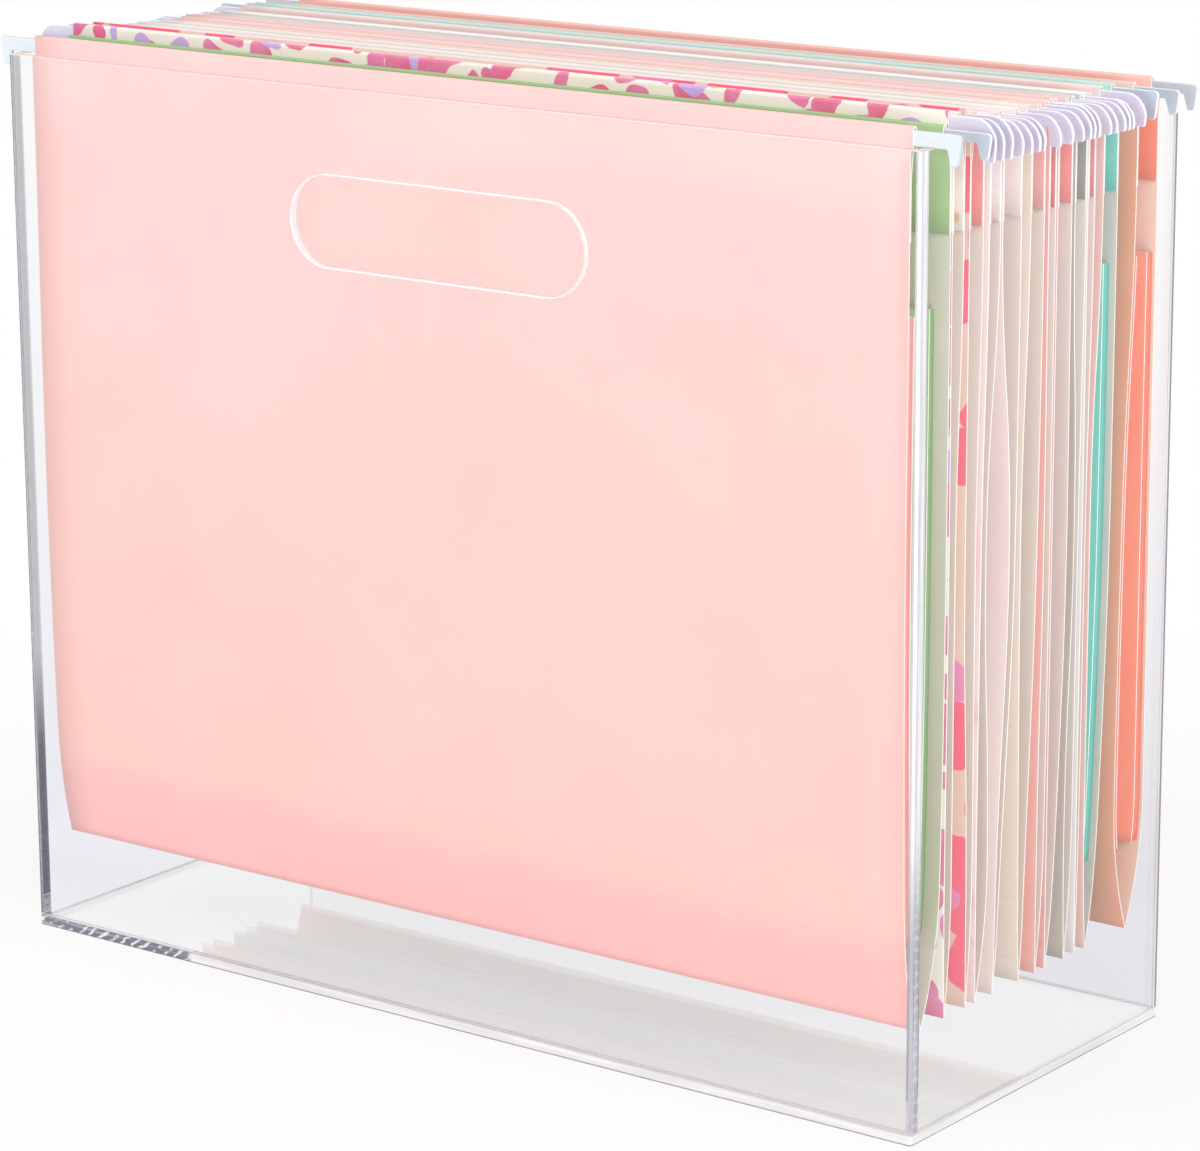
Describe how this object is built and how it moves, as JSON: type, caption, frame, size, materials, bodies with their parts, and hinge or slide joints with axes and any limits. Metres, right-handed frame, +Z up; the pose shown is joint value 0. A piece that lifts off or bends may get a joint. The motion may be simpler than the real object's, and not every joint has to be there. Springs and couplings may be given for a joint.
{
  "type": "hanging file box",
  "caption": "Clear open-topped desktop box with hand slots, whose side walls carry hooked hanging file folders in many pastel colours.",
  "frame": {"origin": "middle of the box's footprint, on the surface it stands on", "axes": "+X along the folders, -Y the front panel that faces the viewer, +Z up"},
  "size_m": [0.3278, 0.126, 0.2689],
  "materials": {
    "clear_acrylic": "clear, polished",
    "rod_white": "satin coating",
    "rod_blue_grey": "satin coating",
    "rod_lavender": "satin coating",
    "card_01": "smooth coated card",
    "card_02": "smooth coated card",
    "card_03": "smooth coated card",
    "card_04": "smooth coated card",
    "card_05": "smooth coated card",
    "card_06": "smooth coated card",
    "card_07": "smooth coated card",
    "card_08": "smooth coated card",
    "card_09": "smooth coated card",
    "card_10": "smooth coated card",
    "card_11": "smooth coated card",
    "card_12": "smooth coated card",
    "pocket_salmon": "smooth coated card",
    "pocket_green": "smooth coated card",
    "pocket_teal": "smooth coated card",
    "pocket_coral": "smooth coated card"
  },
  "bodies": {
    "box": {"box_base": "clear_acrylic", "box_front_panel": "clear_acrylic", "box_back_panel": "clear_acrylic", "box_left_wall": "clear_acrylic", "box_right_wall": "clear_acrylic"},
    "folder_01": {"folder_01_card": "card_01", "folder_01_front_rod": "rod_white", "folder_01_back_rod": "rod_blue_grey", "folder_01_front_pocket": "pocket_salmon", "folder_01_back_pocket": "pocket_green"},
    "folder_02": {"folder_02_card": "card_02", "folder_02_front_rod": "rod_lavender", "folder_02_back_rod": "rod_lavender"},
    "folder_03": {"folder_03_card": "card_03", "folder_03_front_rod": "rod_lavender", "folder_03_back_rod": "rod_lavender"},
    "folder_04": {"folder_04_card": "card_04", "folder_04_front_rod": "rod_lavender", "folder_04_back_rod": "rod_lavender"},
    "folder_05": {"folder_05_card": "card_05", "folder_05_front_rod": "rod_lavender", "folder_05_back_rod": "rod_lavender"},
    "folder_06": {"folder_06_card": "card_06", "folder_06_front_rod": "rod_lavender", "folder_06_back_rod": "rod_lavender"},
    "folder_07": {"folder_07_card": "card_07", "folder_07_front_rod": "rod_lavender", "folder_07_back_rod": "rod_lavender"},
    "folder_08": {"folder_08_card": "card_08", "folder_08_front_rod": "rod_lavender", "folder_08_back_rod": "rod_lavender"},
    "folder_09": {"folder_09_card": "card_09", "folder_09_front_rod": "rod_lavender", "folder_09_back_rod": "rod_lavender"},
    "folder_10": {"folder_10_card": "card_10", "folder_10_front_rod": "rod_lavender", "folder_10_back_rod": "rod_lavender"},
    "folder_11": {"folder_11_card": "card_11", "folder_11_front_rod": "rod_lavender", "folder_11_back_rod": "rod_blue_grey", "folder_11_back_pocket": "pocket_teal"},
    "folder_12": {"folder_12_card": "card_12", "folder_12_front_rod": "rod_blue_grey", "folder_12_back_rod": "rod_blue_grey", "folder_12_front_pocket": "pocket_coral", "folder_12_back_pocket": "pocket_coral"}
  },
  "joints": [
    {"name": "folder_01_lift", "type": "slide", "parent": "box", "child": "folder_01", "axis": [0, 0, 1], "range_m": [0, 0.25]},
    {"name": "folder_02_lift", "type": "slide", "parent": "box", "child": "folder_02", "axis": [0, 0, 1], "range_m": [0, 0.25]},
    {"name": "folder_03_lift", "type": "slide", "parent": "box", "child": "folder_03", "axis": [0, 0, 1], "range_m": [0, 0.25]},
    {"name": "folder_04_lift", "type": "slide", "parent": "box", "child": "folder_04", "axis": [0, 0, 1], "range_m": [0, 0.25]},
    {"name": "folder_05_lift", "type": "slide", "parent": "box", "child": "folder_05", "axis": [0, 0, 1], "range_m": [0, 0.25]},
    {"name": "folder_06_lift", "type": "slide", "parent": "box", "child": "folder_06", "axis": [0, 0, 1], "range_m": [0, 0.25]},
    {"name": "folder_07_lift", "type": "slide", "parent": "box", "child": "folder_07", "axis": [0, 0, 1], "range_m": [0, 0.25]},
    {"name": "folder_08_lift", "type": "slide", "parent": "box", "child": "folder_08", "axis": [0, 0, 1], "range_m": [0, 0.25]},
    {"name": "folder_09_lift", "type": "slide", "parent": "box", "child": "folder_09", "axis": [0, 0, 1], "range_m": [0, 0.25]},
    {"name": "folder_10_lift", "type": "slide", "parent": "box", "child": "folder_10", "axis": [0, 0, 1], "range_m": [0, 0.25]},
    {"name": "folder_11_lift", "type": "slide", "parent": "box", "child": "folder_11", "axis": [0, 0, 1], "range_m": [0, 0.25]},
    {"name": "folder_12_lift", "type": "slide", "parent": "box", "child": "folder_12", "axis": [0, 0, 1], "range_m": [0, 0.25]}
  ]
}
